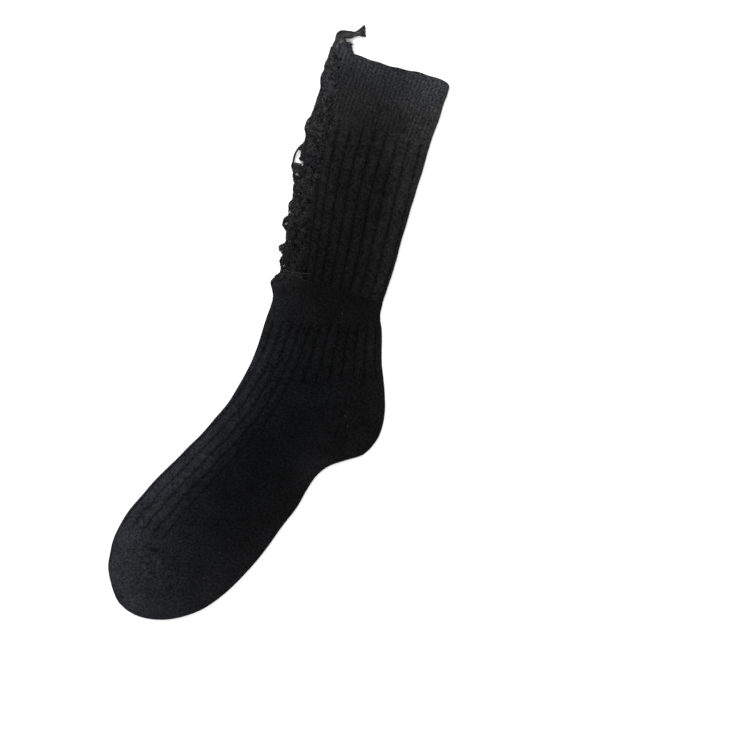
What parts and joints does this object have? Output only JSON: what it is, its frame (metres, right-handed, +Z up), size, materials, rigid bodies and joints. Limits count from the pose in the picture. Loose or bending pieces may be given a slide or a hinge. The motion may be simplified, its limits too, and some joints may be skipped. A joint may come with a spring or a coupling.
{
  "type": "holey sock",
  "caption": "Worn black rib-knit crew sock laid flat, its leg torn open down the front into loose yarn loops, with a torn strip at the cuff.",
  "frame": {"origin": "middle of the laid-out sock's box, on the surface that it lies on", "axes": "+Y up the leg to the cuff, -X towards the torn front and the toe, +X towards the heel, +Z up off the surface"},
  "size_m": [0.1651, 0.4633, 0.0061],
  "materials": {
    "fine_rib": "black cotton, fine one-by-one rib, matt",
    "wide_rib": "black cotton, wide rib, matt with a soft nap",
    "plain_knit": "black cotton, plain knit, matt, slightly greyed at the toe",
    "loose_yarn": "black cotton yarn, loose and hairy"
  },
  "bodies": {
    "root": {"cuff_upper": "fine_rib", "cuff_under": "fine_rib", "leg_upper": "wide_rib", "leg_under": "wide_rib", "foot": "plain_knit", "frayed_upper": "loose_yarn", "frayed_under": "loose_yarn", "cuff_tail": "loose_yarn"}
  },
  "joints": []
}
